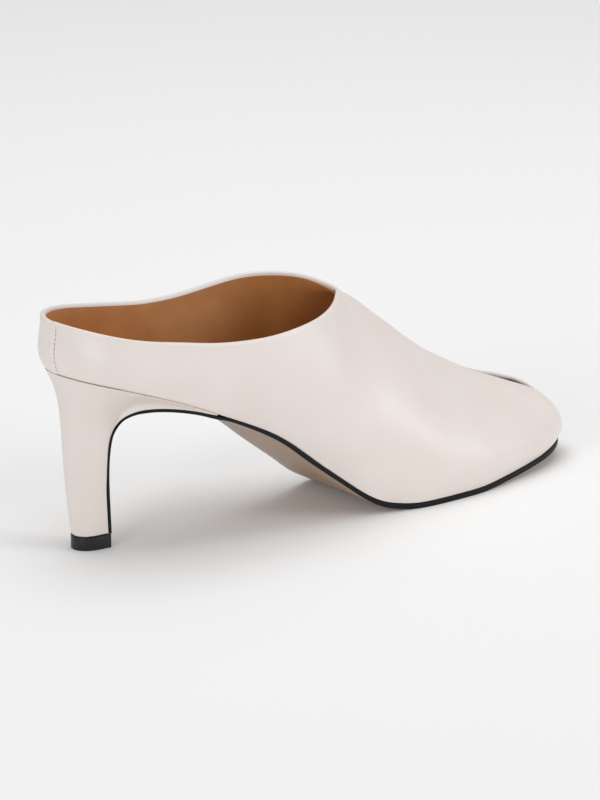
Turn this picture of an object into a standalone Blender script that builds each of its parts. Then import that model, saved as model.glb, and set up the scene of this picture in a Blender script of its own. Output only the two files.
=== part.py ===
"""A heeled mule: one right shoe in smooth leather, standing empty on its sole.

The pieces are a hollow upper, a bent outsole that ends as a thin flap on the heel's front face, a slim covered
heel, its top lift and an insole. Every form is worked out from the sizes below and from short tables, whose
numbers are shares of those sizes.

Units are metres. +X points to the toe, +Y to the medial side (the inner side of this right shoe) and +Z up. The
functions measure x from the heel's back, and the finished meshes are shifted so that the origin lies under the
middle of the top lift, on the floor.
"""

import bpy
import numpy as np

# Sizes of the last, in metres
LENGTH = 0.2448           # outsole, from the heel's back to the tip of the toe
BALL_WIDTH = 0.0712       # outsole across the ball
WAIST_WIDTH = 0.0459      # outsole across the waist
SEAT_WIDTH = 0.0539       # heel seat
TOE_WIDTH = 0.0428        # width that the rounding of the toe starts from
HEEL_ROUND = 0.0260       # length over which the heel's end is rounded
TOE_ROUND = 0.0300        # length over which the toe is rounded
HEEL_HEIGHT = 0.0698      # heel seat over the floor, at the back
TOE_SPRING = 0.0058       # tread over the floor at the tip of the toe
BACK_HEIGHT = 0.0202      # low rim over the heel seat, at the back
INSTEP_HEIGHT = 0.0840    # point of the throat over the floor
RIM_BACK = 0.0016         # rim behind the heel seat's back
TOE_REACH = -0.0008       # ridge's lower end in front of the outsole's tip

# Sizes of the material
WALL = 0.0020             # leather and lining of the upper
SOLE = 0.0020             # outsole at its edge
FLAP = 0.0010             # outsole where it is skived thin, on the heel's front face
INSOLE = 0.0028           # insole with its sock
GAP = 0.0003              # clearance between pieces
LAP = 0.0005              # step where one quarter laps over the other, at the back
LAP_RUN = 0.0140          # length over which the lapped quarter runs out flush
EDGE_INSET = 0.0003       # upper's lower edge inside the outsole's edge
SOCK_PLAY = 0.0002        # insole's edge, past the clearance, from the upper's wall

# Sizes of the heel
WING = 0.0545             # from the heel's back to the tip of its wings
WING_TIP = 0.0003         # thickness left at the tip of the wings
TIP_LENGTH = 0.0114       # heel's foot, from back to front
TIP_WIDTH = 0.0120        # heel's foot, across
TIP_BACK = 0.0074         # back of the heel's foot, in front of the heel's back
LIFT_HEIGHT = 0.0052      # top lift
LIFT_EDGE = 0.0002        # top lift past the heel's foot

# Sizes of the openings
THROAT = 0.1311           # from the heel's back to the point of the throat
SLIT_START = 0.1985       # toe slit, its two ends from the heel's back
SLIT_END = 0.2435
SLIT_WIDTH = 0.0050       # toe slit at its widest
SLIT_RISE = 0.0026        # medial lip of the slit over the lateral lip

# Numbers of faces
COLLAR_RIBS = 25          # on each side, from the centre back to the throat
RIDGE_RIBS = 23           # on each side, from the throat to the toe
ACROSS = 6                # across the outsole and the insole


class Table:
    """Rows of numbers with named columns, read smoothly between the rows."""

    def __init__(self, columns, rows):
        values = np.array(rows, dtype=float)
        self.columns = {name: values[:, i] for i, name in enumerate(columns.split())}
        self.key = self.columns[columns.split()[0]]

    def at(self, column, key):
        return monotone(self.key, self.columns[column], key)


def monotone(xs, ys, x):
    """Piecewise cubic through the points that never overshoots them, so equal values stay flat."""
    xs, ys = np.asarray(xs, float), np.asarray(ys, float)
    x = np.clip(x, xs[0], xs[-1])
    h = np.diff(xs)
    d = np.diff(ys) / h
    m = np.zeros(len(xs))
    m[0], m[-1] = d[0], d[-1]
    for i in range(1, len(xs) - 1):
        if d[i - 1] * d[i] > 0:
            a, b = 2 * h[i] + h[i - 1], h[i] + 2 * h[i - 1]
            m[i] = (a + b) / (a / d[i - 1] + b / d[i])
    i = np.clip(np.searchsorted(xs, x, side="right") - 1, 0, len(h) - 1)
    t = (x - xs[i]) / h[i]
    return ((1 + 2 * t) * (1 - t) ** 2 * ys[i] + t * (1 - t) ** 2 * h[i] * m[i]
            + t * t * (3 - 2 * t) * ys[i + 1] + t * t * (t - 1) * h[i] * m[i + 1])


# Outsole seen from above. Stations are shares of LENGTH. The half widths are shares of the width named in the
# row, and the swing of the middle line to the medial side is a share of BALL_WIDTH.
OUTLINE = Table("station width lateral medial swing", [
    (0.00, SEAT_WIDTH, 0.488, 0.488, -0.010),
    (0.06, SEAT_WIDTH, 0.499, 0.501, -0.013),
    (0.14, SEAT_WIDTH, 0.499, 0.492, -0.018),
    (0.24, SEAT_WIDTH, 0.482, 0.449, -0.024),
    (0.34, WAIST_WIDTH, 0.549, 0.451, -0.029),
    (0.44, WAIST_WIDTH, 0.582, 0.440, -0.031),
    (0.54, BALL_WIDTH, 0.437, 0.343, -0.017),
    (0.63, BALL_WIDTH, 0.490, 0.447, 0.010),
    (0.72, BALL_WIDTH, 0.497, 0.503, 0.048),
    (0.81, BALL_WIDTH, 0.459, 0.473, 0.090),
    (0.90, TOE_WIDTH, 0.645, 0.668, 0.126),
    (1.00, TOE_WIDTH, 0.479, 0.523, 0.149),
])

# Tread line seen from the side. "heel" is a share of the seat's height over the tread, "toe" of TOE_SPRING, and
# "skive" goes from 0 (full outsole) to 1 (thin flap). Between 0.60 and 0.71 the tread lies flat on the floor.
PROFILE = Table("station heel toe skive", [
    (0.00, 1.000, 0.00, 1.0),
    (0.06, 0.948, 0.00, 1.0),
    (0.14, 0.852, 0.00, 1.0),
    (0.24, 0.702, 0.00, 1.0),
    (0.34, 0.532, 0.00, 0.4),
    (0.44, 0.259, 0.00, 0.0),
    (0.54, 0.031, 0.00, 0.0),
    (0.60, 0.000, 0.00, 0.0),
    (0.71, 0.000, 0.00, 0.0),
    (0.81, 0.000, 0.26, 0.0),
    (0.90, 0.000, 0.59, 0.0),
    (1.00, 0.000, 1.00, 0.0),
])

# Collar edge on each side, from the centre back to the throat. "run" is a share of THROAT, "reach" the half
# width as a share of SEAT_WIDTH, and "dip" a share of BACK_HEIGHT, below a straight line from rim to throat.
# "fall" is the angle, in degrees below the horizontal, at which the wall leaves the edge.
COLLAR = {
    "lateral": Table("run reach dip fall", [
        (0.00, 0.512, 0.00, 96), (0.13, 0.520, 0.17, 94), (0.30, 0.524, 0.32, 93), (0.46, 0.532, 0.425, 91),
        (0.55, 0.540, 0.42, 88), (0.64, 0.535, 0.37, 84), (0.72, 0.507, 0.29, 76), (0.79, 0.452, 0.225, 66),
        (0.86, 0.362, 0.145, 55), (0.93, 0.215, 0.065, 44), (1.00, 0.00, 0.00, 34)]),
    "medial": Table("run reach dip fall", [
        (0.00, 0.512, 0.00, 96), (0.13, 0.512, 0.03, 96), (0.30, 0.514, 0.10, 96), (0.43, 0.516, 0.15, 95),
        (0.54, 0.522, 0.11, 93), (0.63, 0.527, 0.02, 90), (0.72, 0.527, -0.09, 85), (0.80, 0.505, -0.17, 76),
        (0.87, 0.450, -0.195, 62), (0.93, 0.335, -0.195, 38), (0.965, 0.220, -0.16, 14), (0.985, 0.110, -0.09, -6),
        (1.00, 0.00, 0.00, -16)]),
}

# Ridge from the throat to the toe. "run" is a share of the way from THROAT to the toe, "height" of INSTEP_HEIGHT,
# "swing" of BALL_WIDTH. "tilt" is the slope across the ridge in degrees, down to the lateral side, and "roof"
# the slope at which both sides leave it.
RIDGE = Table("run height swing tilt roof", [
    (0.000, 1.000, 0.000, 25, 9),
    (0.080, 0.930, 0.018, 20, 10),
    (0.190, 0.815, 0.038, 14, 10),
    (0.360, 0.645, 0.062, 12, 9),
    (0.530, 0.508, 0.083, 14, 8),
    (0.600, 0.464, 0.091, 15, 7),
    (0.680, 0.419, 0.100, 16, 6),
    (0.820, 0.345, 0.115, 14, 6),
    (0.920, 0.288, 0.128, 7, 5),
    (1.000, 0.202, 0.140, 0, 4),
])

# How the wall leaves the sole's edge, at stations of LENGTH: "lean" in degrees outwards from the vertical,
# "foot" and "crown" how far the wall keeps each end's direction, as shares of the rib's chord, and "shoulder" how
# far past the sole's edge the crown's direction may reach, as a share of BALL_WIDTH.
WALLS = {
    "lateral": Table("station lean foot crown shoulder", [
        (0.00, 42, 0.42, 0.34, 0.12), (0.10, 30, 0.40, 0.34, 0.12), (0.30, 26, 0.38, 0.34, 0.14),
        (0.45, 24, 0.36, 0.36, 0.14), (0.60, 16, 0.34, 0.38, 0.10), (0.75, 24, 0.34, 0.38, 0.10),
        (0.90, 38, 0.36, 0.38, 0.10), (1.00, 46, 0.42, 0.50, 0.12)]),
    "medial": Table("station lean foot crown shoulder", [
        (0.00, 42, 0.42, 0.34, 0.12), (0.10, 30, 0.40, 0.34, 0.12), (0.30, 28, 0.38, 0.34, 0.16),
        (0.45, 24, 0.34, 0.50, 0.22), (0.60, 16, 0.32, 0.50, 0.18), (0.75, 22, 0.34, 0.44, 0.13),
        (0.90, 38, 0.36, 0.38, 0.10), (1.00, 46, 0.42, 0.50, 0.12)]),
}

# How the ribs' tops crowd at the toe end of the ridge: "rib" is a share of their number, "along" of the ridge.
RIB_TOPS = Table("rib along", [(0.00, 0.00), (0.60, 0.66), (0.80, 0.875), (0.90, 0.962), (0.96, 0.991), (1.00, 1.00)])

# Which rib of the wall stands where on the sole's edge: "top" is a share of the way along collar and ridge, and
# "foot" a share of the way along the sole's edge.
RIB_FEET = {
    "lateral": Table("top foot", [(0.00, 0.00), (0.25, 0.245), (0.53, 0.50), (0.78, 0.70), (0.88, 0.800), (0.93, 0.872),
                                  (0.96, 0.923), (0.985, 0.965), (0.996, 0.986), (1.00, 1.00)]),
    "medial": Table("top foot", [(0.00, 0.00), (0.25, 0.255), (0.56, 0.535), (0.80, 0.72), (0.88, 0.805), (0.93, 0.875),
                                 (0.96, 0.925), (0.985, 0.966), (0.996, 0.986), (1.00, 1.00)]),
}

# Inner face of the outsole's flap, from the tip of the wings to the heel's foot. "forward" is a share of the
# way from the foot's front to the tip of the wings, "height" of HEEL_HEIGHT, "reach" of half the SEAT_WIDTH.
BREAST = Table("way forward height reach", [
    (0.00, 1.000, 0.7215, 0.955),
    (0.10, 0.775, 0.768, 0.930),
    (0.20, 0.550, 0.799, 0.885),
    (0.28, 0.370, 0.813, 0.820),
    (0.34, 0.232, 0.813, 0.745),
    (0.40, 0.115, 0.796, 0.640),
    (0.46, 0.025, 0.745, 0.495),
    (0.53, -0.030, 0.664, 0.395),
    (0.60, -0.043, 0.586, 0.340),
    (0.70, -0.040, 0.476, 0.288),
    (0.82, -0.027, 0.332, 0.250),
    (0.93, -0.007, 0.170, 0.230),
    (1.00, 0.010, 0.000, 0.223),
])

# The heel's back line: how far it has come down and moved in, at the same ways as BREAST, as shares of the way
# from the seat to the heel's foot.
BACK_LINE = Table("way drop forward inward", [
    (0.00, 0.000, 0.00, 0.00), (0.10, 0.055, 0.20, 0.14), (0.20, 0.115, 0.36, 0.31), (0.28, 0.175, 0.44, 0.45),
    (0.34, 0.220, 0.47, 0.54), (0.40, 0.270, 0.49, 0.62), (0.46, 0.330, 0.50, 0.70), (0.53, 0.410, 0.52, 0.78),
    (0.60, 0.495, 0.54, 0.84), (0.70, 0.610, 0.60, 0.90), (0.82, 0.775, 0.72, 0.96), (0.93, 0.910, 0.87, 0.99),
    (1.00, 1.000, 1.00, 1.00),
])

SHIFT = np.array([-(TIP_BACK + (TIP_LENGTH + FLAP + GAP) / 2), 0.0, 0.0])


def rounding(x):
    """Share of the half width left at x, where the heel and the toe are rounded."""
    x = np.clip(np.asarray(x, float), 0.0, LENGTH)
    back = np.clip((HEEL_ROUND - x) / HEEL_ROUND, 0, 1)
    front = np.clip((x - (LENGTH - TOE_ROUND)) / TOE_ROUND, 0, 1)
    return np.sqrt(1 - back ** 2) * (1 - front ** 2.3) ** (1 / 2.3)


def edge_y(x, side, inset=0.0):
    """Y of the sole's edge at x. An inset moves it in, and draws the outline in at both ends as well."""
    sign = -1.0 if side == "lateral" else 1.0
    s = (np.asarray(x, float) - inset) / (LENGTH - 2 * inset) * LENGTH
    t = np.clip(s / LENGTH, 0, 1)
    rows = OUTLINE.columns["width"] * OUTLINE.columns[side]
    half = monotone(OUTLINE.key, rows, t) - inset
    middle = OUTLINE.at("swing", t) * BALL_WIDTH
    return middle + sign * half * rounding(s)


def tread(x):
    """Height of the tread line at x."""
    t = np.asarray(x, float) / LENGTH
    seat = HEEL_HEIGHT - SOLE - GAP
    return seat * PROFILE.at("heel", t) + TOE_SPRING * PROFILE.at("toe", t)


def feather(x):
    """Height of the upper's lower edge at x."""
    return tread(x) + SOLE + GAP


def resample(points, shares, axes=3):
    """Points at the given shares of a polyline's length, which its first columns give."""
    steps = np.linalg.norm(np.diff(points[:, :axes], axis=0), axis=1)
    run = np.concatenate([[0], np.cumsum(steps)])
    run /= run[-1]
    return np.stack([np.interp(shares, run, points[:, i]) for i in range(points.shape[1])], axis=1)


def end_spaced(start, end, count):
    """Positions from start to end that crowd at both, for the rounded ends of an outline."""
    return start + (end - start) * (1 - np.cos(np.linspace(0, np.pi, count))) / 2


def collar_edge(side):
    """Outer edge of the collar on one side, from the centre back to the throat, as a dense polyline with the
    wall's fall in a fourth column."""
    run = end_spaced(0.0, 1.0, 241)
    table = COLLAR[side]
    sign = -1.0 if side == "lateral" else 1.0
    x = run * THROAT - RIM_BACK * (1 - run) ** 3
    reach = table.at("reach", run) * SEAT_WIDTH
    y = sign * reach * rounding(run * THROAT) + OUTLINE.at("swing", run * THROAT / LENGTH) * BALL_WIDTH * (1 - run)
    y[0] = OUTLINE.at("swing", 0.0) * BALL_WIDTH
    line = HEEL_HEIGHT + BACK_HEIGHT + (INSTEP_HEIGHT - HEEL_HEIGHT - BACK_HEIGHT) * run
    z = line - table.at("dip", run) * BACK_HEIGHT
    return np.stack([x, y, z, table.at("fall", run)], axis=1)


def ridge_line():
    """Ridge of the vamp from the throat to the toe, with tilt and roof in further columns."""
    run = np.linspace(0.0, 1.0, 241)
    x = THROAT + (LENGTH + TOE_REACH - THROAT) * run
    return np.stack([x, RIDGE.at("swing", run) * BALL_WIDTH, RIDGE.at("height", run) * INSTEP_HEIGHT,
                     RIDGE.at("tilt", run), RIDGE.at("roof", run)], axis=1)


def rib_tops(side):
    """Top ends of one side's ribs, the angles at which the wall leaves the collar, and the slopes of the surface
    along X and Y at the ridge, which stand in for those angles from the throat on."""
    collar = collar_edge(side)
    back = np.linspace(0, 0.27, 10)[:-1]
    rest = np.linspace(0.27, 1.0, COLLAR_RIBS - 8)
    first = resample(collar, np.concatenate([back, rest]))
    ridge = ridge_line()
    second = resample(ridge, RIB_TOPS.at("along", np.linspace(0, 1, RIDGE_RIBS + 1)))
    along = np.gradient(second[:, :3], axis=0)
    sign = -1.0 if side == "lateral" else 1.0
    slope_y = np.tan(np.radians(second[:, 3] - sign * second[:, 4]))
    slope_x = (along[:, 2] - slope_y * along[:, 1]) / along[:, 0]
    slopes = np.stack([slope_x, slope_y], axis=1)
    # the slit's lips part from each other, the medial one a little higher
    way = np.clip((second[:, 0] - SLIT_START) / (SLIT_END - SLIT_START), 0, 1)
    part = np.sin(np.pi * way)
    second[:, 1] += sign * part ** 0.8 * SLIT_WIDTH / 2
    if side == "medial":
        second[:, 2] += np.sin(np.pi * way ** 1.3) ** 1.2 * SLIT_RISE
    return np.concatenate([first[:, :3], second[1:, :3]]), first[:, 3], slopes


def edge_feet(side, tops):
    """Lower ends of the ribs on the sole's edge, and the outward direction of the edge there."""
    x = end_spaced(EDGE_INSET, LENGTH - EDGE_INSET, 721)
    edge = np.stack([x, edge_y(x, side, EDGE_INSET)], axis=1)
    length = np.concatenate([[0], np.cumsum(np.linalg.norm(np.diff(tops, axis=0), axis=1))])
    share = RIB_FEET[side].at("foot", length / length[-1])
    feet = resample(edge, share)
    ahead, behind = resample(edge, np.minimum(share + 0.01, 1)), resample(edge, np.maximum(share - 0.01, 0))
    along = ahead - behind
    along /= np.linalg.norm(along, axis=1)[:, None]
    sign = -1.0 if side == "lateral" else 1.0
    out = np.stack([-sign * along[:, 1], sign * along[:, 0]], axis=1)
    out[0], out[-1] = (-1, 0), (1, 0)
    return feet, out


def bezier(a, b, c, d, t):
    t = t[:, None]
    return (1 - t) ** 3 * a + 3 * t * (1 - t) ** 2 * b + 3 * t * t * (1 - t) * c + t ** 3 * d


# How strongly the ribs below the throat are evened out, over how many ribs to either side, and how many times
SOFTEN = 0.30
SOFT_RIBS = 4.0
SOFT_STEPS = 14


def softer(a, b):
    """The smaller of two lengths, with a soft change from one to the other."""
    return (a ** -4 + b ** -4) ** -0.25


ROWS = np.array([0, 0.025, 0.075, 0.15, 0.24, 0.34, 0.45, 0.56, 0.67, 0.78, 0.89, 1.0])


def wall_side(side):
    """Outer face of one side of the upper: a grid of ribs from the centre back to the toe, each with its points
    from the sole's edge up."""
    tops, falls, slopes = rib_tops(side)
    feet, out = edge_feet(side, tops)
    table = WALLS[side]
    up = np.array([0.0, 0.0, 1.0])
    grid = np.zeros((len(tops), len(ROWS), 3))
    for i, (end, foot, o) in enumerate(zip(tops, feet, out)):
        start = np.array([foot[0], foot[1], feather(foot[0])])
        chord = np.linalg.norm(end - start)
        station = foot[0] / LENGTH
        lean = np.radians(table.at("lean", station))
        fall = np.radians(falls[i]) if i < COLLAR_RIBS else -np.arctan(slopes[i - COLLAR_RIBS] @ o)
        outward = np.array([o[0], o[1], 0.0])
        first = start + chord * table.at("foot", station) * (outward * np.sin(lean) + up * np.cos(lean))
        room = max(float((start - end) @ outward) + table.at("shoulder", station) * BALL_WIDTH, 0.002)
        pull = softer(chord * table.at("crown", station), room / max(np.cos(fall), 0.01))
        second = end + pull * (outward * np.cos(fall) - up * np.sin(fall))
        grid[i] = bezier(start, first, second, end, ROWS)
    return grid


def soften(lateral, medial):
    """Even out the ribs below the throat, where they fan, and keep all the edges."""
    rib = np.arange(COLLAR_RIBS + RIDGE_RIBS + 1)
    share = SOFTEN * np.exp(-((rib - COLLAR_RIBS - 1) / SOFT_RIBS) ** 2)
    grid = np.concatenate([lateral, medial[-2::-1]])
    share = np.concatenate([share, share[-2::-1]])[1:-1, None, None]
    for _ in range(SOFT_STEPS):
        along = (grid[:-2, 1:-1] + grid[2:, 1:-1]) / 2 - grid[1:-1, 1:-1]
        up = (grid[1:-1, :-2] + grid[1:-1, 2:]) / 2 - grid[1:-1, 1:-1]
        grid[1:-1, 1:-1] += share * (0.7 * along + 0.3 * up)
    last = len(rib)
    return grid[:last], grid[last - 1:][::-1]


def lap_step(grid, out):
    """Raise the medial quarter over the lateral one at the centre back, running out flush."""
    arc = np.concatenate([[0], np.cumsum(np.linalg.norm(np.diff(grid[:, 0, :2], axis=0), axis=1))])
    lift = LAP * np.clip(1 - arc / LAP_RUN, 0, 1)
    grid[:, :, :2] += lift[:, None, None] * out[:, None, :]
    return grid


def face_normals(points, faces):
    """Outward normal at each point, the mean of the faces round it."""
    normals = np.zeros_like(points)
    for f in faces:
        p = points[list(f)]
        n = np.zeros(3)
        for k in range(1, len(f) - 1):
            n += np.cross(p[k] - p[0], p[k + 1] - p[0])
        for v in f:
            normals[v] += n
    return normals / np.maximum(np.linalg.norm(normals, axis=1), 1e-12)[:, None]


def upper_mesh():
    """The upper as one closed wall: outer face, inner face, and the rims that join them."""
    lateral, medial = soften(wall_side("lateral"), wall_side("medial"))
    last = COLLAR_RIBS + RIDGE_RIBS
    rows = len(ROWS)
    out = edge_feet("medial", rib_tops("medial")[0])[1]
    medial = lap_step(medial, out)
    points, index = [], {}

    def add(key, point):
        index[key] = len(points)
        points.append(point)

    for i in range(last + 1):
        for j in range(rows):
            add(("lateral", i, j), lateral[i, j])
    for i in range(last + 1):
        for j in range(rows):
            on_toe = i == last
            on_ridge = j == rows - 1 and i >= COLLAR_RIBS
            open_slit = np.linalg.norm(lateral[i, -1] - medial[i, -1]) > 1e-6
            if on_toe or (on_ridge and not open_slit):
                index[("medial", i, j)] = index[("lateral", i, j)]
            else:
                add(("medial", i, j), medial[i, j])
    faces = []
    for i in range(last):
        for j in range(rows - 1):
            a, b = index[("lateral", i, j)], index[("lateral", i + 1, j)]
            c, d = index[("lateral", i + 1, j + 1)], index[("lateral", i, j + 1)]
            faces.append((a, b, c, d))
            a, b = index[("medial", i, j)], index[("medial", i + 1, j)]
            c, d = index[("medial", i + 1, j + 1)], index[("medial", i, j + 1)]
            faces.append((d, c, b, a))
    # at the centre back the lateral quarter ends under the lapped medial one, a narrow step apart
    for j in range(rows - 1):
        faces.append((index[("medial", 0, j)], index[("lateral", 0, j)],
                      index[("lateral", 0, j + 1)], index[("medial", 0, j + 1)]))
    outer = np.array(points)
    normals = face_normals(outer, faces)
    inner = outer - WALL * normals
    # the lower rim stays level, so that the wall stands on its whole thickness
    for (side, i, j), k in index.items():
        if j == 0:
            flat = normals[k] * (1, 1, 0)
            inner[k] = outer[k] - WALL * flat / np.linalg.norm(flat)
            inner[k, 2] = feather(inner[k, 0])
    count = len(outer)
    edges = {}
    for f in faces:
        for a, b in zip(f, f[1:] + f[:1]):
            edges[(a, b)] = True
    inside = [tuple(v + count for v in reversed(f)) for f in faces]
    rims = [(b, a, a + count, b + count) for (a, b) in edges if (b, a) not in edges]
    return np.concatenate([outer, inner]), faces + inside + rims


def breast_curve(ways):
    """Inner face of the outsole's flap: x, z and half width at ways from the wings' tip to the heel's foot."""
    front = TIP_BACK + TIP_LENGTH + GAP
    x = front + BREAST.at("forward", ways) * (WING - front)
    top = BREAST.at("height", ways) * HEEL_HEIGHT
    foot = LIFT_HEIGHT + GAP
    z = top * (1 - foot / (BREAST.columns["height"][0] * HEEL_HEIGHT)) + foot
    return x, z, BREAST.at("reach", ways) * SEAT_WIDTH / 2


def catmull(points, per_span):
    """A smooth curve through the points: it passes each one and leaves it in the direction of its neighbours."""
    padded = np.concatenate([[2 * points[0] - points[1]], points, [2 * points[-1] - points[-2]]])
    curve = []
    for i in range(len(points) - 1):
        p0, p1, p2, p3 = padded[i:i + 4]
        for t in np.linspace(0, 1, per_span, endpoint=False):
            curve.append(0.5 * (2 * p1 + (p2 - p0) * t + (2 * p0 - 5 * p1 + 4 * p2 - p3) * t * t
                                + (3 * p1 - p0 - 3 * p2 + p3) * t ** 3))
    curve.append(points[-1])
    return np.array(curve)


def side_offset(path, distance):
    """A path in x and z moved square to itself, to its left when it runs from toe to heel."""
    along = np.gradient(path[:, :2], axis=0)
    along /= np.linalg.norm(along, axis=1)[:, None]
    moved = path.copy()
    moved[:, 0] += along[:, 1] * distance
    moved[:, 1] -= along[:, 0] * distance
    return moved


def wing_middle():
    return float((edge_y(WING, "lateral") + edge_y(WING, "medial")) / 2)


def flap_path(per_span):
    """Inner face of the outsole under the heel's wings and down its front, with columns x, z, lateral y, medial
    y."""
    ways = BREAST.key
    x, z, half = breast_curve(ways)
    middle = wing_middle() * (half - half[-1]) / (half[0] - half[-1])
    half[-1] = TIP_WIDTH / 2
    rows = np.stack([x, z, middle - half, middle + half], axis=1)
    rows[0, 2], rows[0, 3] = edge_y(WING, "lateral"), edge_y(WING, "medial")
    return catmull(rows, per_span)


def outsole_mesh():
    """A bent plate, ruled straight across: tread and waist first, then the thin flap on the heel's front."""
    toe = 0.88 * LENGTH
    x = np.concatenate([LENGTH - (LENGTH - toe) * (1 - np.cos(np.linspace(0, np.pi / 2, 12))),
                        np.linspace(toe, 1.09 * WING, 34)[1:]])
    front = np.stack([x, feather(x) - GAP, edge_y(x, "lateral"), edge_y(x, "medial")], axis=1)
    rear = flap_path(3)
    path = np.concatenate([front, rear])
    skive = np.concatenate([PROFILE.at("skive", x / LENGTH), np.ones(len(rear))])
    thick = SOLE + (FLAP - SOLE) * skive
    under = side_offset(path, -1.0)
    under = path + (under - path) * thick[:, None]
    # the tread lies level, so its stretch is set straight under the plate's upper face
    flat = np.zeros(len(path), bool)
    flat[:len(x)] = x > 0.40 * LENGTH
    under[flat, 0] = path[flat, 0]
    under[flat, 1] = path[flat, 1] - SOLE
    # the last row ends level on the top lift
    under[-1, 1] = path[-1, 1]
    return ruled_plate(path, under)


def ruled_plate(top, under):
    """A plate between two paths with columns x, z, lateral y, medial y."""
    share = np.linspace(0, 1, ACROSS + 1)
    points, faces = [], []
    for rows in (top, under):
        for x, z, a, b in rows:
            for s in share:
                points.append((x, a + (b - a) * s, z))
    n, m = len(top), ACROSS + 1
    base = n * m
    for i in range(n - 1):
        for j in range(m - 1):
            a, b, c, d = i * m + j, (i + 1) * m + j, (i + 1) * m + j + 1, i * m + j + 1
            faces.append((d, c, b, a))
            faces.append((base + a, base + b, base + c, base + d))
        a, b = i * m, (i + 1) * m
        faces.append((a, b, base + b, base + a))
        a, b = i * m + m - 1, (i + 1) * m + m - 1
        faces.append((b, a, base + a, base + b))
    for j in range(m - 1):
        faces.append((j + 1, j, base + j, base + j + 1))
        a = (n - 1) * m + j
        faces.append((a, a + 1, base + a + 1, base + a))
    return np.array(points), faces


def tip_outline(ways, grow=0.0):
    """Half of the heel's foot seen from below: from its back at way 0 round to its front corner at way 1."""
    length, half = TIP_LENGTH + 2 * grow, TIP_WIDTH / 2 + grow
    a = length * 0.62
    arc = np.linspace(0, np.pi / 2, 31)
    curve = np.stack([a * (1 - np.cos(arc)), half * np.sin(arc) ** 0.9], axis=1)
    curve = np.concatenate([curve, [[length, half]]])
    curve[:, 0] += TIP_BACK - grow
    return resample(curve, ways)


def heel_mesh():
    """The heel: ribs fan from the seat's outline down to the foot, and the last rib follows the flap."""
    ways = np.array([0.0, 0.006, 0.05, 0.10, 0.15, 0.20, 0.25, 0.29, 0.33, 0.37, 0.41, 0.45, 0.49, 0.53, 0.58, 0.64,
                     0.71, 0.79, 0.87, 0.94, 1.0])
    dense = flap_path(12)
    share = np.linspace(0, 1, len(dense))
    way_of = np.interp(share, np.linspace(0, 1, len(BREAST.key)), BREAST.key)
    face = np.stack([np.interp(ways, way_of, dense[:, k]) for k in range(4)], axis=1)
    face = side_offset(face, GAP)
    seat_z = feather(WING) - GAP
    face[0] = (WING, seat_z, face[0, 2], face[0, 3])
    face[1, 0] = WING
    face[1, 1] = seat_z - WING_TIP
    floor = LIFT_HEIGHT + GAP
    face[-1, 1] = floor
    sides = {}
    stations = np.concatenate([[0.0], 1 - np.cos(np.linspace(0.12, np.pi / 2, 9)), [1.35, 1.6, 1.85, 2.096]])
    stations = np.array(stations) * HEEL_ROUND
    stations[-1] = WING
    for side, column in (("lateral", 2), ("medial", 3)):
        sign = -1.0 if side == "lateral" else 1.0
        seat = np.stack([stations, edge_y(stations, side), feather(stations) - GAP], axis=1)
        feet = tip_outline((np.arange(len(stations)) / (len(stations) - 1)) ** 0.8)
        grid = np.zeros((len(stations), len(ways), 3))
        edge = np.stack([face[:, 0], face[:, column], face[:, 1]], axis=1)
        for i, (s, f) in enumerate(zip(seat, feet)):
            w = (stations[i] / WING)
            end = np.array([f[0], sign * f[1], floor])
            back = np.stack([BACK_LINE.at("forward", ways), BACK_LINE.at("inward", ways),
                             BACK_LINE.at("drop", ways)], axis=1)
            travel = edge[-1] - edge[0]
            front = (edge - edge[0]) / travel
            move = (1 - w) * back + w * front
            grid[i] = s + (end - s) * move
        grid[-1] = edge
        sides[side] = grid
    return fan_solid(sides["lateral"], sides["medial"])


def fan_solid(lateral, medial):
    """A solid between two grids of ribs that share their first rib: its sides, its top, its front and its foot."""
    n, m = lateral.shape[:2]
    points, index = [], {}
    for name, grid in (("lateral", lateral), ("medial", medial)):
        for i in range(n):
            for j in range(m):
                if name == "medial" and i == 0:
                    index[(name, i, j)] = index[("lateral", i, j)]
                    continue
                index[(name, i, j)] = len(points)
                points.append(grid[i, j])
    middle = {}

    def across(key, a, b):
        """The points of a straight line across the solid, from the lateral to the medial side."""
        if key not in middle:
            line = [a]
            for s in (0.25, 0.5, 0.75):
                line.append(len(points))
                points.append(points[a] + (points[b] - points[a]) * s)
            middle[key] = line + [b]
        return middle[key]

    faces = []
    for i in range(n - 1):
        for j in range(m - 1):
            a, b = index[("lateral", i, j)], index[("lateral", i + 1, j)]
            c, d = index[("lateral", i + 1, j + 1)], index[("lateral", i, j + 1)]
            faces.append((d, c, b, a))
            a, b = index[("medial", i, j)], index[("medial", i + 1, j)]
            c, d = index[("medial", i + 1, j + 1)], index[("medial", i, j + 1)]
            faces.append((a, b, c, d))
    for j, up in ((0, True), (m - 1, False)):
        for i in range(n - 1):
            front = across((i + 1, j), index[("lateral", i + 1, j)], index[("medial", i + 1, j)])
            if i == 0:
                loop = [index[("lateral", 0, j)]] + front
                fan = [(loop[0], loop[k], loop[k + 1]) for k in range(1, len(loop) - 1)]
                faces += fan if up else [f[::-1] for f in fan]
                continue
            back = across((i, j), index[("lateral", i, j)], index[("medial", i, j)])
            for k in range(len(back) - 1):
                quad = (back[k], front[k], front[k + 1], back[k + 1])
                faces.append(quad if up else quad[::-1])
    for j in range(m - 1):
        high = across((n - 1, j), index[("lateral", n - 1, j)], index[("medial", n - 1, j)])
        low = across((n - 1, j + 1), index[("lateral", n - 1, j + 1)], index[("medial", n - 1, j + 1)])
        for k in range(len(high) - 1):
            faces.append((high[k], low[k], low[k + 1], high[k + 1]))
    return np.array(points), faces


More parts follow.
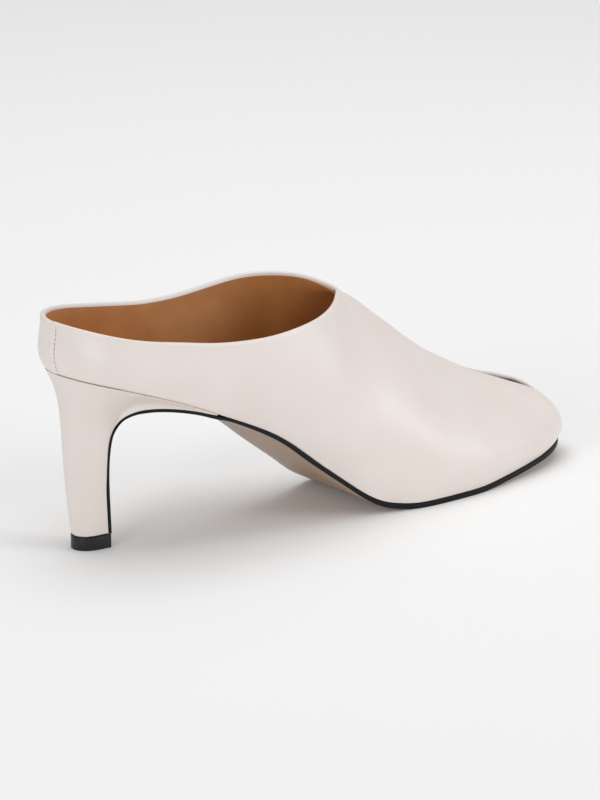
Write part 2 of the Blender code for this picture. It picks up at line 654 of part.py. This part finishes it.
def top_lift_mesh():
    """The top lift: the heel's foot and the flap's end, drawn out by its edge, as a plate on the floor."""
    half = tip_outline(np.linspace(0, 1, 13), LIFT_EDGE)
    half[-1, 0] += FLAP + GAP
    ring = np.concatenate([half * (1, -1), half[:0:-1]])
    points = [(x, y, z) for z in (0.0, LIFT_HEIGHT) for x, y in ring]
    n = len(ring)
    faces = [(i, (i + 1) % n, (i + 1) % n + n, i + n) for i in range(n)]
    faces += [tuple(range(n))[::-1], tuple(range(n, 2 * n))]
    return np.array(points), faces


def insole_mesh():
    """The insole, inside the upper's wall and over outsole and heel."""
    inset = EDGE_INSET + WALL + GAP + SOCK_PLAY
    x = end_spaced(inset, LENGTH - inset, 47)
    a, b = edge_y(x, "lateral", inset), edge_y(x, "medial", inset)
    # the two end rows keep a short width, so that the plate has faces there too
    low = np.stack([x, feather(x), a, b], axis=1)[1:-1][::-1]
    high = low.copy()
    high[:, 1] += INSOLE
    return ruled_plate(high, low)


def material(name, colour, roughness, metallic=0.0):
    made = bpy.data.materials.new(name)
    made.use_nodes = True
    shader = made.node_tree.nodes["Principled BSDF"]
    shader.inputs["Base Color"].default_value = (*colour, 1.0)
    shader.inputs["Roughness"].default_value = roughness
    shader.inputs["Metallic"].default_value = metallic
    return made


def make(name, shape, finish, sharp=50.0):
    """An object from points and faces, shaded smooth except at edges sharper than the given angle."""
    points, faces = shape
    mesh = bpy.data.meshes.new(name)
    mesh.from_pydata([tuple(p) for p in points + SHIFT], [], [tuple(int(v) for v in f) for f in faces])
    mesh.validate()
    mesh.materials.append(finish)
    mesh.shade_smooth()
    mesh.set_sharp_from_angle(angle=np.radians(sharp))
    made = bpy.data.objects.new(name, mesh)
    bpy.context.scene.collection.objects.link(made)
    return made


def main():
    for old in list(bpy.data.objects):
        bpy.data.objects.remove(old, do_unlink=True)
    cream = material("cream_leather", (0.78, 0.72, 0.68), 0.45)
    cover = material("cream_cover", (0.76, 0.70, 0.66), 0.42)
    taupe = material("taupe_sole", (0.30, 0.22, 0.17), 0.55)
    black = material("black_lift", (0.015, 0.016, 0.018), 0.25)
    brown = material("brown_sock", (0.34, 0.16, 0.07), 0.50)
    make("outsole", outsole_mesh(), taupe)
    make("heel", heel_mesh(), cover)
    make("top_lift", top_lift_mesh(), black)
    make("insole", insole_mesh(), brown)
    make("upper", upper_mesh(), cream)


main()
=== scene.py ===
# %% [markdown]
# A heeled mule, dressed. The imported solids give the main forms: a hollow upper, a bent outsole, a slim
# covered heel, its top lift and an insole. This lesson turns them into leather, edge paint and rubber. A
# solid could be shown as it is with a better material, but its facets would show on such smooth leather. So
# each solid is copied, its loose triangles are welded, and the copy is rounded and detailed in its place.

# %% Load the frame
import math

import bpy
import numpy as np
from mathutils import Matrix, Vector
from mathutils.bvhtree import BVHTree


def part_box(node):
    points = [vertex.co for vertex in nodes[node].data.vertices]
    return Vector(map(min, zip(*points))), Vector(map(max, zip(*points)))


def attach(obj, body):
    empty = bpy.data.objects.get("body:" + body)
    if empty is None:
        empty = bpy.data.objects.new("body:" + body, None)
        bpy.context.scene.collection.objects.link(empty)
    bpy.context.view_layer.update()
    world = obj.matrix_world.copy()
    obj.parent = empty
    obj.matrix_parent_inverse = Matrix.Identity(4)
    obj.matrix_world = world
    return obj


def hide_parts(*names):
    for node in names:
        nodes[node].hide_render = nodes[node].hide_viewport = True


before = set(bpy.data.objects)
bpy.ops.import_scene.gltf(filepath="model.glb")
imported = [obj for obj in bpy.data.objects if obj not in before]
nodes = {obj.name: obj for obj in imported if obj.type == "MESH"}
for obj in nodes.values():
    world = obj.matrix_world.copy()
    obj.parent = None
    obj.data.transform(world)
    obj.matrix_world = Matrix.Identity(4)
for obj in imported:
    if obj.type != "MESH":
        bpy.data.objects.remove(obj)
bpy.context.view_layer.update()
print("solids:", ", ".join(sorted(nodes)))

MM = 0.001

# %% [markdown]
# Nearly every step starts in the same way: one piece is made the only selected one, because an operator acts
# on all that is selected. A copy of a solid arrives as loose triangles. Welding its points and joining its
# triangles into quads gives a clean cage, which a Subdivision Surface modifier can round.

# %% Helpers for selecting and copying
WELD_DISTANCE = 0.002 * MM
ROUND_LEVELS = 2


def only(piece):
    """Make one piece the only selected and active one, in object mode."""
    if bpy.context.mode != "OBJECT":
        bpy.ops.object.mode_set(mode="OBJECT")
    bpy.ops.object.select_all(action="DESELECT")
    piece.select_set(True)
    bpy.context.view_layer.objects.active = piece


def cage_of(node, name):
    """A welded copy of a solid, mostly in quads."""
    piece = nodes[node].copy()
    piece.data = nodes[node].data.copy()
    piece.name = piece.data.name = name
    for key in list(piece.keys()):
        del piece[key]
    piece.parent = None
    bpy.context.scene.collection.objects.link(piece)
    only(piece)
    if piece.data.has_custom_normals:
        bpy.ops.mesh.customdata_custom_splitnormals_clear()
    bpy.ops.object.mode_set(mode="EDIT")
    bpy.ops.mesh.select_all(action="SELECT")
    bpy.ops.mesh.remove_doubles(threshold=WELD_DISTANCE)
    bpy.ops.mesh.tris_convert_to_quads(face_threshold=math.radians(60), shape_threshold=math.radians(80))
    bpy.ops.object.mode_set(mode="OBJECT")
    piece.data.materials.clear()
    return piece


def crease(piece, value, angle, test=lambda middle: True):
    """Crease the edges sharper than an angle whose middle passes a test, so that rounding keeps them."""
    mesh = piece.data
    attribute = mesh.attributes.get("crease_edge") or mesh.attributes.new("crease_edge", "FLOAT", "EDGE")
    faces_of = {}
    for face in mesh.polygons:
        for key in face.edge_keys:
            faces_of.setdefault(key, []).append(face.normal)
    count = 0
    for edge in mesh.edges:
        sides = faces_of.get(edge.key, [])
        if len(sides) != 2 or sides[0].angle(sides[1], 0) < math.radians(angle):
            continue
        a, b = (mesh.vertices[i].co for i in edge.vertices)
        if test((a + b) / 2):
            attribute.data[edge.index].value = value
            count += 1
    return count


def apply_modifier(piece, kind, **settings):
    """Add a modifier with its settings and apply it."""
    only(piece)
    modifier = piece.modifiers.new(kind.lower(), kind)
    for name, value in settings.items():
        setattr(modifier, name, value)
    bpy.ops.object.modifier_apply(modifier=modifier.name)


def rounded(piece):
    """Round a cage off, all but its creased edges."""
    apply_modifier(piece, "SUBSURF", levels=ROUND_LEVELS, render_levels=ROUND_LEVELS)


def smooth(piece, angle):
    """Shade a piece smooth, all but the edges sharper than an angle."""
    only(piece)
    bpy.ops.object.shade_smooth_by_angle(angle=math.radians(angle))


def triangles(piece):
    """How many triangles a piece has."""
    return sum(len(face.vertices) - 2 for face in piece.data.polygons)


def sheet_from(piece, chosen, name):
    """Duplicate the chosen faces of a piece and separate them as a sheet of their own."""
    only(piece)
    bpy.ops.object.mode_set(mode="EDIT")
    bpy.ops.mesh.select_mode(type="FACE")
    bpy.ops.mesh.select_all(action="DESELECT")
    bpy.ops.object.mode_set(mode="OBJECT")
    for index in chosen:
        piece.data.polygons[index].select = True
    bpy.ops.object.mode_set(mode="EDIT")
    bpy.ops.mesh.duplicate()
    bpy.ops.mesh.separate(type="SELECTED")
    bpy.ops.object.mode_set(mode="OBJECT")
    sheet = next(other for other in bpy.context.selected_objects if other is not piece)
    sheet.name = sheet.data.name = name
    return sheet


# %% [markdown]
# The camera comes early, so that every later step can be judged in the photograph's view. It stands where the
# photograph was taken from: to the lateral side, behind the shoe and a little above it, far away, as product
# cameras stand. It is aimed at the middle of the shoe, and a long lens brings the shoe up to fill the frame.

# %% Camera
EYE = Vector((-0.8681, -1.3360, 0.4922))
AIM = Vector((0.1034, 0.0060, 0.0395))
LENS = 198.0

camera_data = bpy.data.cameras.new("camera")
camera = bpy.data.objects.new("camera", camera_data)
bpy.context.scene.collection.objects.link(camera)
camera.location = EYE
camera.rotation_euler = (AIM - EYE).to_track_quat("-Z", "Y").to_euler()
camera_data.lens = LENS
camera_data.clip_start, camera_data.clip_end = 0.05, 20.0
bpy.context.scene.camera = camera
print(f"camera {(AIM - EYE).length:.2f} m away, {LENS:.0f} mm lens")

# %% [markdown]
# A finished leather is never one flat colour. Each finish here is a Principled shader with three layers of
# detail: a slow drift between two close tones, a fine grain in the bump, and a little unevenness in the
# roughness. They all read Object coordinates, which are metres on these pieces, so a scale of 1000 means one
# bump to the millimetre. Nearly all values of a noise lie between two limits, which are spread to full range.

# %% A recipe for finishes
NOISE_LOW, NOISE_HIGH = 0.3, 0.7
GLOSS_PATCH_MM, GLOSS_SPREAD = 9.0, 0.05
FLECK_MM, FLECK_TINT = 1.6, (0.55, 0.5, 0.45, 1.0)
COAT_ROUGHNESS = 0.25


def finish_of(name, light, dark, roughness, grain_mm, grain_depth, drift_mm=30.0, coat=0.0, specular=0.5,
              flecks=0.0):
    """A material with drifting tone, fine grain and uneven gloss. Colours are linear."""
    made = bpy.data.materials.new(name)
    made.use_nodes = True
    tree = made.node_tree
    shader = tree.nodes["Principled BSDF"]
    place = tree.nodes.new("ShaderNodeTexCoord").outputs["Object"]

    def noise(size_mm, detail, roughness_of=0.5):
        node = tree.nodes.new("ShaderNodeTexNoise")
        node.inputs["Scale"].default_value = 1000.0 / size_mm
        node.inputs["Detail"].default_value = detail
        node.inputs["Roughness"].default_value = roughness_of
        tree.links.new(place, node.inputs["Vector"])
        return node.outputs["Fac"]

    def ranged(value, low, high):
        node = tree.nodes.new("ShaderNodeMapRange")
        node.inputs["From Min"].default_value = NOISE_LOW
        node.inputs["From Max"].default_value = NOISE_HIGH
        node.inputs["To Min"].default_value = low
        node.inputs["To Max"].default_value = high
        tree.links.new(value, node.inputs["Value"])
        return node.outputs["Result"]

    mix = tree.nodes.new("ShaderNodeMix")
    mix.data_type = "RGBA"
    mix.inputs["A"].default_value = (*light, 1.0)
    mix.inputs["B"].default_value = (*dark, 1.0)
    tree.links.new(ranged(noise(drift_mm, 3.0, 0.55), 0.0, 1.0), mix.inputs["Factor"])
    colour = mix.outputs["Result"]
    if flecks:
        fleck = tree.nodes.new("ShaderNodeMix")
        fleck.data_type = "RGBA"
        fleck.blend_type = "MULTIPLY"
        fleck.inputs["B"].default_value = FLECK_TINT
        tree.links.new(ranged(noise(FLECK_MM, 4.0, 0.7), 0.0, flecks), fleck.inputs["Factor"])
        tree.links.new(colour, fleck.inputs["A"])
        colour = fleck.outputs["Result"]
    tree.links.new(colour, shader.inputs["Base Color"])
    gloss = ranged(noise(GLOSS_PATCH_MM, 2.0), roughness - GLOSS_SPREAD, roughness + GLOSS_SPREAD)
    tree.links.new(gloss, shader.inputs["Roughness"])

    cells = tree.nodes.new("ShaderNodeTexVoronoi")
    cells.feature = "SMOOTH_F1"
    cells.inputs["Scale"].default_value = 1000.0 / grain_mm
    tree.links.new(place, cells.inputs["Vector"])
    fine = tree.nodes.new("ShaderNodeMath")
    fine.operation = "ADD"
    tree.links.new(cells.outputs["Distance"], fine.inputs[0])
    tree.links.new(noise(grain_mm * 4.0, 2.0), fine.inputs[1])
    bump = tree.nodes.new("ShaderNodeBump")
    bump.inputs["Strength"].default_value = 1.0
    bump.inputs["Distance"].default_value = grain_depth * MM
    tree.links.new(fine.outputs["Value"], bump.inputs["Height"])
    tree.links.new(bump.outputs["Normal"], shader.inputs["Normal"])

    shader.inputs["Coat Weight"].default_value = coat
    shader.inputs["Coat Roughness"].default_value = COAT_ROUGHNESS
    shader.inputs["Specular IOR Level"].default_value = specular
    return made


# %% The finishes of this shoe
cream_calf = finish_of("cream_calf", (0.755, 0.690, 0.655), (0.725, 0.655, 0.615), 0.42, 0.45, 0.010,
                       coat=0.08)
heel_wrap = finish_of("heel_wrap", (0.745, 0.675, 0.638), (0.715, 0.645, 0.605), 0.40, 0.40, 0.008,
                      coat=0.08)
tan_lining = finish_of("tan_lining", (0.500, 0.225, 0.076), (0.420, 0.178, 0.054), 0.48, 0.50, 0.014,
                       drift_mm=14.0, coat=0.04, flecks=0.15)
tan_sock = finish_of("tan_sock", (0.600, 0.300, 0.125), (0.520, 0.250, 0.095), 0.50, 0.50, 0.014,
                     drift_mm=18.0)
sole_leather = finish_of("sole_leather", (0.420, 0.305, 0.228), (0.365, 0.258, 0.190), 0.50, 0.35, 0.010,
                         drift_mm=12.0, flecks=0.2)
edge_paint = finish_of("edge_paint", (0.007, 0.008, 0.010), (0.011, 0.012, 0.015), 0.55, 0.60, 0.010,
                       specular=0.14)
lift_rubber = finish_of("lift_rubber", (0.009, 0.010, 0.013), (0.014, 0.015, 0.018), 0.30, 0.80, 0.006,
                        coat=0.04, specular=0.32)
raw_edge = finish_of("raw_edge", (0.600, 0.430, 0.310), (0.480, 0.330, 0.230), 0.70, 0.20, 0.015,
                     drift_mm=3.0)
seam_thread = finish_of("seam_thread", (0.640, 0.590, 0.550), (0.560, 0.510, 0.470), 0.60, 0.12, 0.010,
                        drift_mm=1.0)
# painted shade: the dark colour of the small bars that stand for the shade inside the stitch holes
pin_shadow = finish_of("pin_shadow", (0.120, 0.095, 0.080), (0.080, 0.062, 0.052), 0.80, 0.20, 0.004,
                       drift_mm=1.0)
print("finishes:", len(bpy.data.materials))

# %% [markdown]
# The upper is one smooth leather over a lining, with no seam but the lap at the back. Its copy is rounded
# twice. The rims of collar and slit get a light crease, because real leather is folded over there and rolls
# off softly, while the lower rim, where the leather is pulled under the last, stays sharp against the sole.
# Two guides tell places apart: an axis through the middle of the inside, and the feather line, where upper
# and sole meet, which is read from the lowest points of the insole.

# %% Upper
upper = cage_of("upper", "upper_leather")
AXIS = np.array([(10, 0, 78), (40, -2, 70), (80, -3, 52), (110, 0, 36), (140, 4, 26), (180, 8, 18),
                 (215, 11, 15)]) * MM
STATION = 4 * MM
RIM_ANGLE = 50
SHARP_CREASE, ROLLED_CREASE = 1.0, 0.35
NEAR_SOLE, CLEAR_OF_SOLE = 1.0 * MM, 3.0 * MM
SURELY_INWARD, NOT_OUTWARD, WALL_BEND = -0.6, 0.15, 45


def away_from_axis(point):
    """Direction from the middle of the shoe's inside to a point."""
    p = np.array(point)
    best = None
    for a, b in zip(AXIS[:-1], AXIS[1:]):
        t = np.clip(((p - a) @ (b - a)) / ((b - a) @ (b - a)), 0, 1)
        gap = p - (a + t * (b - a))
        if best is None or gap @ gap < best @ best:
            best = gap
    return best / max(math.sqrt(best @ best), 1e-9)


def inner_faces(mesh):
    """Faces of the inner wall: those that surely look inwards, and all they reach without a sharp edge."""
    facing = [float(np.array(face.normal) @ away_from_axis(face.center)) for face in mesh.polygons]
    beside = {}
    for face in mesh.polygons:
        for key in face.edge_keys:
            beside.setdefault(key, []).append(face.index)
    found = {index for index, value in enumerate(facing) if value < SURELY_INWARD}
    front = list(found)
    while front:
        face = mesh.polygons[front.pop()]
        for key in face.edge_keys:
            for index in beside[key]:
                bend = math.degrees(face.normal.angle(mesh.polygons[index].normal, 0))
                if index not in found and facing[index] < NOT_OUTWARD and bend < WALL_BEND:
                    found.add(index)
                    front.append(index)
    # the narrow step of the lap lies between two inner faces, so all its points are theirs
    points = {index for number in found for index in mesh.polygons[number].vertices}
    found |= {face.index for face in mesh.polygons if points.issuperset(face.vertices)}
    return sorted(found)


feather = {}
for vertex in nodes["insole"].data.vertices:
    key = round(vertex.co.x / STATION)
    feather[key] = min(feather.get(key, math.inf), vertex.co.z)
feather_x = np.array(sorted(feather)) * STATION
feather_z = np.array([feather[key] for key in sorted(feather)])


def over_sole(point):
    """Height of a point over the feather line."""
    return point.z - float(np.interp(point.x, feather_x, feather_z))


lower_rim = crease(upper, SHARP_CREASE, RIM_ANGLE, lambda middle: over_sole(middle) < NEAR_SOLE)
open_rims = crease(upper, ROLLED_CREASE, RIM_ANGLE, lambda middle: over_sole(middle) > CLEAR_OF_SOLE)
print("edges creased:", lower_rim, "at the lower rim,", open_rims, "at collar and slit")
inside = inner_faces(upper.data)
print("inner faces:", len(inside), "of", len(upper.data.polygons))

# %% [markdown]
# The lining is a leather of its own, thin and glued to the inside. It is taken from the inner faces of the
# upper's cage: they are duplicated, separated, drawn back a little from the rim, so that the cream edge shows
# folded over, and given a thickness.

# %% Lining
FOLDED_OVER = 1.3 * MM
SHARE_OF_FACE = 0.6
LINING_THICKNESS = 0.30 * MM
lining = sheet_from(upper, inside, "lining")


def drawn_back(piece, distance):
    """Move a sheet's open edge inwards, by no more than a share of the faces along it."""
    mesh = piece.data
    uses = {}
    for face in mesh.polygons:
        for key in face.edge_keys:
            uses[key] = uses.get(key, 0) + 1
    rim = {index for key, count in uses.items() if count == 1 for index in key}
    moves = {}
    for edge in mesh.edges:
        a, b = edge.vertices
        for here, there in ((a, b), (b, a)):
            if here in rim and there not in rim:
                moves.setdefault(here, []).append(mesh.vertices[there].co - mesh.vertices[here].co)
    for index, steps in moves.items():
        step = sum(steps, Vector()) / len(steps)
        mesh.vertices[index].co += step.normalized() * min(distance, step.length * SHARE_OF_FACE)
    return len(moves)


print("lining edge points drawn back:", drawn_back(lining, FOLDED_OVER))

# %% Round both
rounded(upper)
rounded(lining)
apply_modifier(lining, "SOLIDIFY", thickness=LINING_THICKNESS, offset=1.0)
print("upper", triangles(upper), "triangles, lining", triangles(lining))

# %% [markdown]
# Leather pulled over a last is never perfectly even. A few soft troughs and ridges are pressed in, each
# along a short line given in the shoe's own sizes: the flex line over the ball, a slack place on the waist,
# and the faint pull lines where the leather turns under the arch. Leather also stands a little off the last
# along the crown, and beside the slit as far as the toe. Both walls and the lining move together.

# %% Soft forms
PRESSES = [
    # points along the line (x, y, z in mm), reach in mm, depth in mm (a minus is a ridge)
    ([(112, -30, 30), (122, -33, 22), (134, -35, 14)], 6.0, 0.30),
    ([(124, -28, 40), (134, -33, 28), (146, -35, 16)], 7.0, -0.22),
    ([(60, -27, 58), (72, -26, 52), (84, -27, 44)], 7.0, 0.28),
    ([(20, -27, 76), (40, -27, 72), (58, -26, 68)], 8.0, 0.18),
    ([(150, -26, 40), (166, -26, 34), (180, -22, 30)], 9.0, 0.20),
    ([(166, -32, 20), (182, -28, 18), (198, -22, 16)], 8.0, -0.20),
    ([(70, 24, 60), (84, 21, 52), (96, 20, 44)], 8.0, 0.28),
    ([(118, 26, 40), (132, 32, 30), (146, 36, 18)], 8.0, 0.25),
    ([(150, 36, 22), (166, 39, 18), (182, 38, 14)], 8.0, -0.18),
    ([(176, 2, 39), (192, 2, 34), (208, 2, 27), (218, 3, 22), (225, 5, 18)], 9.0, -1.70),
    ([(214, 12, 27), (222, 12, 22)], 4.5, -0.60),
]
CROWN_FROM, CROWN_TO = 128 * MM, 168 * MM
CROWN_POINTS, CROWN_WINDOW = 5, 2 * MM
CROWN_REACH, CROWN_RISE = 12.0, -1.35
SOLE_FADE = 4 * MM


def crown_line(piece):
    """The highest points over the forefoot, from the flex line to the slit, in millimetres."""
    points = np.array([vertex.co for vertex in piece.data.vertices])
    line = []
    for x in np.linspace(CROWN_FROM, CROWN_TO, CROWN_POINTS):
        near = points[np.abs(points[:, 0] - x) < CROWN_WINDOW]
        line.append(tuple(near[near[:, 2].argmax()] / MM))
    return line


PRESSES.append((crown_line(upper), CROWN_REACH, CROWN_RISE))


def line_distance(points, line):
    """Distance of many points from a bent line."""
    best = np.full(len(points), 1e9)
    for a, b in zip(line[:-1], line[1:]):
        t = np.clip(((points - a) @ (b - a)) / ((b - a) @ (b - a)), 0, 1)
        gap = points - (a + t[:, None] * (b - a))
        best = np.minimum(best, np.sqrt((gap ** 2).sum(1)))
    return best


def press(piece):
    """Press the troughs and ridges into a piece, fading out towards the sole."""
    mesh = piece.data
    points = np.zeros(len(mesh.vertices) * 3)
    mesh.vertices.foreach_get("co", points)
    points = points.reshape(-1, 3)
    outward = np.array([away_from_axis(point) for point in points])
    move = np.zeros(len(points))
    for line, reach, depth in PRESSES:
        gap = line_distance(points, np.array(line, float) * MM)
        move -= depth * MM * np.exp(-(gap / (reach * MM)) ** 2)
    height = points[:, 2] - np.interp(points[:, 0], feather_x, feather_z)
    move *= np.clip(height / SOLE_FADE, 0, 1)
    points += outward * move[:, None]
    mesh.vertices.foreach_set("co", points.ravel())
    mesh.update()
    return float(np.abs(move).max())


print(f"deepest press {press(upper) / MM:.2f} mm in the upper, {press(lining) / MM:.2f} mm in the lining")
for piece, finish, slot in ((upper, cream_calf, "cream_leather"), (lining, tan_lining, "brown_sock")):
    piece.data.materials.append(finish)
    smooth(piece, 60)
    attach(piece, "root")
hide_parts("upper")

# %% [markdown]
# The outsole is thin leather with its edges painted black. Its copy keeps its sharp edges through the
# rounding, and the faces that look sideways get the paint, as does the side against the shoe, of which a
# hairline shows. On the heel's front the same leather runs down as a thin flap.

# %% Outsole
sole = cage_of("outsole", "outsole_leather")
FLAP_END_X, FLAP_START, FLAP_FADE, FLAP_PLAY = 50 * MM, 4 * MM, 4 * MM, 0.35 * MM
SIDEWAYS, AGAINST_SHOE, TOE_REGION = 0.6, 0.3, 32 * MM
SOLE_BEVEL = 0.18 * MM
print("sole edges kept:", crease(sole, SHARP_CREASE, 45))
rounded(sole)
for vertex in sole.data.vertices:
    # the flap on the heel's front is a touch wider than the heel, so that its painted edge shows unbroken
    low = -over_sole(vertex.co) - FLAP_START
    if vertex.co.x < FLAP_END_X and low > 0:
        vertex.co.y += math.copysign(FLAP_PLAY, vertex.co.y) * min(1.0, low / FLAP_FADE)
sole.data.materials.append(sole_leather)
sole.data.materials.append(edge_paint)
toe_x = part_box("outsole")[1].x
painted = 0
for face in sole.data.polygons:
    sideways = abs(face.normal.y) > SIDEWAYS
    at_toe = face.center.x > toe_x - TOE_REGION and abs(face.normal.z) < SIDEWAYS
    on_top = face.normal.z > AGAINST_SHOE
    against_heel = face.normal.x < -AGAINST_SHOE and face.center.x < FLAP_END_X
    if sideways or at_toe or on_top or against_heel:
        face.material_index = 1
        painted += 1
apply_modifier(sole, "BEVEL", width=SOLE_BEVEL, segments=2, limit_method="ANGLE",
               angle_limit=math.radians(45))
smooth(sole, 50)
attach(sole, "root")
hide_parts("outsole")
print("painted faces before the bevel:", painted, "and triangles after it:", triangles(sole))

# %% [markdown]
# The heel is a moulded core wrapped in the same leather. Its seat and its front edges stay crisp, and its
# foot rolls in softly over the top lift, where the wrap is turned under.

# %% Heel
heel = cage_of("heel", "heel_wrap")
WRAP_ANGLE, TURNED_CREASE, TURNED_UNDER = 40, 0.55, 2 * MM
foot_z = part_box("top_lift")[1].z
crisp = crease(heel, SHARP_CREASE, WRAP_ANGLE, lambda middle: middle.z > foot_z + TURNED_UNDER)
soft = crease(heel, TURNED_CREASE, WRAP_ANGLE, lambda middle: middle.z <= foot_z + TURNED_UNDER)
print("heel edges kept:", crisp, "and softened at the foot:", soft)
rounded(heel)
heel.data.materials.append(heel_wrap)
smooth(heel, 45)
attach(heel, "root")
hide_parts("heel")
print("heel", triangles(heel), "triangles")

# %% [markdown]
# Between the upper and the heel runs a fine tan line: the cut edge of the leather that covers the heel seat.
# It is a sheet taken from the heel's top faces, thickened until it nearly fills the clearance.

# %% Seat edge
SEAT_FACING, SEAT_REACH, SEAT_LEATHER = 0.8, 0.8 * MM, 0.26 * MM
seat = [face.index for face in heel.data.polygons
        if face.normal.z > SEAT_FACING and abs(over_sole(face.center)) < SEAT_REACH]
seat_edge = sheet_from(heel, seat, "seat_edge")
apply_modifier(seat_edge, "SOLIDIFY", thickness=SEAT_LEATHER, offset=1.0)
seat_edge.data.materials.clear()
seat_edge.data.materials.append(raw_edge)
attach(seat_edge, "root")
print("seat faces:", len(seat))

# %% [markdown]
# The top lift is a small block of hard rubber. Even hard edges catch the light, so its edges get a small
# bevel.

# %% Top lift
LIFT_BEVEL = 0.35 * MM
lift = cage_of("top_lift", "top_lift_rubber")
apply_modifier(lift, "BEVEL", width=LIFT_BEVEL, segments=3, limit_method="ANGLE",
               angle_limit=math.radians(50))
lift.data.materials.append(lift_rubber)
smooth(lift, 35)
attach(lift, "root")
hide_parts("top_lift")

# %% [markdown]
# Inside lies the insole under its leather sock. A crease a little under full lets its edges roll off softly.

# %% Insole
SOCK_CREASE = 0.8
sock = cage_of("insole", "insole_sock")
crease(sock, SOCK_CREASE, 45)
rounded(sock)
sock.data.materials.append(tan_sock)
smooth(sock, 50)
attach(sock, "root")
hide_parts("insole")
print("lift", triangles(lift), "triangles, sock", triangles(sock))

# %% [markdown]
# At the back one quarter laps over the other, and a single row of small stitches holds it. One stitch is a
# short round bar with rolled ends, and it is copied up the seam, each copy laid on the leather. A small dark
# bar, sunk into the leather, sits at every needle hole between two stitches: its dark colour is painted
# shade, standing in for the shade inside the hole.

# %% Back seam
skin = BVHTree.FromObject(upper, bpy.context.evaluated_depsgraph_get())
SEAM_Y, SEAM_LOW, SEAM_HIGH = -3.4 * MM, 72.5 * MM, 88.6 * MM
STITCH_PITCH = 1.75 * MM
STITCH_RADIUS, STITCH_LENGTH, STITCH_LIFT = 0.19 * MM, 1.15 * MM, 0.03 * MM
HOLE_RADIUS, HOLE_LENGTH, HOLE_LIFT = 0.30 * MM, 0.60 * MM, -0.20 * MM
BEHIND_SHOE = -40 * MM
UP_STEP = 0.5 * MM


def on_back(y, z):
    """Point and normal of the leather at the back."""
    hit, normal, _, _ = skin.ray_cast(Vector((BEHIND_SHOE, y, z)), Vector((1, 0, 0)))
    return hit, normal


def seam_places(heights):
    """Point, upward direction and normal on the seam at each height."""
    places = []
    for z in heights:
        here, normal = on_back(SEAM_Y, z)
        above, _ = on_back(SEAM_Y, z + UP_STEP)
        places.append((here, above - here, normal))
    return places


def small_bar(radius, length):
    """A bar with rolled ends, along Z, at the origin."""
    bpy.ops.object.select_all(action="DESELECT")
    bpy.ops.mesh.primitive_cylinder_add(vertices=8, radius=radius, depth=length)
    bar = bpy.context.active_object
    bpy.ops.object.mode_set(mode="EDIT")
    bpy.ops.mesh.select_all(action="SELECT")
    bpy.ops.mesh.bevel(offset=radius * 0.6, segments=2, affect="EDGES", clamp_overlap=True)
    bpy.ops.object.mode_set(mode="OBJECT")
    return bar


def laid(pattern, name, places, lift_off):
    """Copies of a pattern, each laid at a place along its direction, joined into one piece."""
    made = []
    for place, along, normal in places:
        copy = pattern.copy()
        copy.data = pattern.data.copy()
        bpy.context.scene.collection.objects.link(copy)
        z = along.normalized()
        x = (normal - normal.dot(z) * z).normalized()
        y = z.cross(x)
        for vertex in copy.data.vertices:
            vertex.co = place + normal * lift_off + x * vertex.co.x + y * vertex.co.y + z * vertex.co.z
        made.append(copy)
    bpy.data.objects.remove(pattern)
    bpy.ops.object.select_all(action="DESELECT")
    for copy in made:
        copy.select_set(True)
    bpy.context.view_layer.objects.active = made[0]
    bpy.ops.object.join()
    made[0].name = made[0].data.name = name
    return made[0]


heights = np.arange(SEAM_LOW, SEAM_HIGH, STITCH_PITCH)
stitches = laid(small_bar(STITCH_RADIUS, STITCH_LENGTH), "back_stitches", seam_places(heights), STITCH_LIFT)
holes = laid(small_bar(HOLE_RADIUS, HOLE_LENGTH), "back_stitch_hole_shade",
             seam_places(heights - STITCH_PITCH / 2), HOLE_LIFT)
stitches.data.materials.append(seam_thread)
# the bars at the holes get the dark finish, painted shade for the inside of each needle hole
holes.data.materials.append(pin_shadow)
for piece in (stitches, holes):
    smooth(piece, 60)
    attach(piece, "root")
print("stitches and holes:", len(heights), "each")

# %% [markdown]
# The set is a plain pale floor with soft light. A large softbox hangs above the shoe, so that its soft shadow
# lies under it, two lower ones light the toe and the heel, and a fourth evens out the floor behind.

# %% Floor and light
PAPER_COLOUR, SKY_STRENGTH = (0.87, 0.87, 0.87, 1.0), 0.34
SOFTBOXES = [
    # name, place, what it is aimed at, width and height in metres, watts
    ("top_box", (0.15, 0.15, 1.45), (0.1, 0.0, 0.0), (1.3, 1.2), 10.0),
    ("toe_box", (1.30, -1.30, 0.65), (0.1, 0.0, 0.04), (1.2, 0.8), 14.5),
    ("heel_box", (-1.60, -0.70, 0.48), (0.0, 0.0, 0.04), (0.8, 0.8), 13.0),
    ("far_box", (0.95, 1.30, 1.40), (0.95, 1.30, 0.0), (1.8, 1.8), 9.0),
]
bpy.ops.object.select_all(action="DESELECT")
bpy.ops.mesh.primitive_plane_add(size=8.0, location=(0, 0, 0))
floor = bpy.context.active_object
floor.name = "floor"
paper = bpy.data.materials.new("paper")
paper.use_nodes = True
paper.node_tree.nodes["Principled BSDF"].inputs["Base Color"].default_value = PAPER_COLOUR
paper.node_tree.nodes["Principled BSDF"].inputs["Roughness"].default_value = 0.9
floor.data.materials.append(paper)

world = bpy.data.worlds.new("studio")
bpy.context.scene.world = world
world.use_nodes = True
world.node_tree.nodes["Background"].inputs["Color"].default_value = (1.0, 1.0, 1.0, 1.0)
world.node_tree.nodes["Background"].inputs["Strength"].default_value = SKY_STRENGTH


def softbox(name, place, aim, size, power):
    """A soft lamp that looks from its place at its aim."""
    light = bpy.data.lights.new(name, "AREA")
    light.shape = "RECTANGLE"
    light.size, light.size_y = size
    light.energy = power
    lamp = bpy.data.objects.new(name, light)
    bpy.context.scene.collection.objects.link(lamp)
    lamp.location = place
    lamp.rotation_euler = (Vector(aim) - Vector(place)).to_track_quat("-Z", "Y").to_euler()


for row in SOFTBOXES:
    softbox(*row)
bpy.context.scene.view_settings.view_transform = "Standard"
print("lights set")
